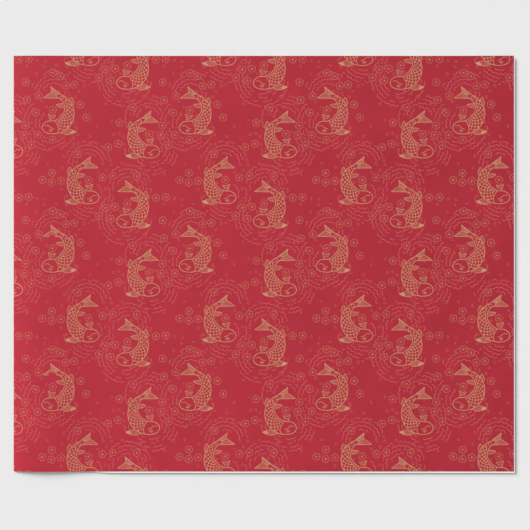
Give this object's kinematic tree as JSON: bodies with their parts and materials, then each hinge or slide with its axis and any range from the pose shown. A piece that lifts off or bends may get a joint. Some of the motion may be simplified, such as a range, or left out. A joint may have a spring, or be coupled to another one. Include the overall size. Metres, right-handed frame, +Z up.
{
  "type": "folded gift wrap sheet",
  "caption": "Sheet of red gift wrap printed with gold carp and blossoms, folded across once with its printed side out, which opens at its fold.",
  "frame": {"origin": "middle of the bottom of the folded sheet's box, on the surface that it lies on", "axes": "+X from the fold to the free ends, +Y along the fold, +Z up from the surface"},
  "size_m": [0.9192, 0.7646, 0.0064],
  "materials": {
    "printed_paper": "satin coated paper flooded with carmine red, with a white uncoated back",
    "gold_ink": "warm gold ink printed in fine lines"
  },
  "bodies": {
    "lower_leaf": {"lower_leaf": "printed_paper", "crease_lower_half": "printed_paper"},
    "bulge_strip_1": {"bulge_strip_1": "printed_paper", "crease_upper_half": "printed_paper"},
    "bulge_strip_2": {"bulge_strip_2": "printed_paper"},
    "bulge_strip_3": {"bulge_strip_3": "printed_paper"},
    "bulge_strip_4": {"bulge_strip_4": "printed_paper"},
    "upper_leaf": {"upper_leaf": "printed_paper"}
  },
  "joints": [
    {"name": "fold_open", "type": "hinge", "parent": "lower_leaf", "child": "upper_leaf", "pos_m": [-0.45986, 0, 0.00203], "axis": [0, -1, 0], "range_deg": [0, 180]},
    {"name": "bend_4", "type": "hinge", "parent": "upper_leaf", "child": "bulge_strip_4", "pos_m": [-0.29831, 0, 0.00218], "axis": [0, -1, 0], "range_deg": [0, 1.33]},
    {"name": "bend_3", "type": "hinge", "parent": "bulge_strip_4", "child": "bulge_strip_3", "pos_m": [-0.33831, 0, 0.00353], "axis": [0, -1, 0], "range_deg": [0, 1.32]},
    {"name": "bend_2", "type": "hinge", "parent": "bulge_strip_3", "child": "bulge_strip_2", "pos_m": [-0.37831, 0, 0.00579], "axis": [0, -1, 0], "range_deg": [-2.48, 0]},
    {"name": "bend_1", "type": "hinge", "parent": "bulge_strip_2", "child": "bulge_strip_1", "pos_m": [-0.41831, 0, 0.00632], "axis": [0, -1, 0], "range_deg": [-6.28, 0]}
  ],
  "couplings": [
    {"joint": "bend_4", "follows": "fold_open", "ratio": 0.007377},
    {"joint": "bend_3", "follows": "fold_open", "ratio": 0.007313},
    {"joint": "bend_2", "follows": "fold_open", "ratio": -0.013803},
    {"joint": "bend_1", "follows": "fold_open", "ratio": -0.034876}
  ]
}
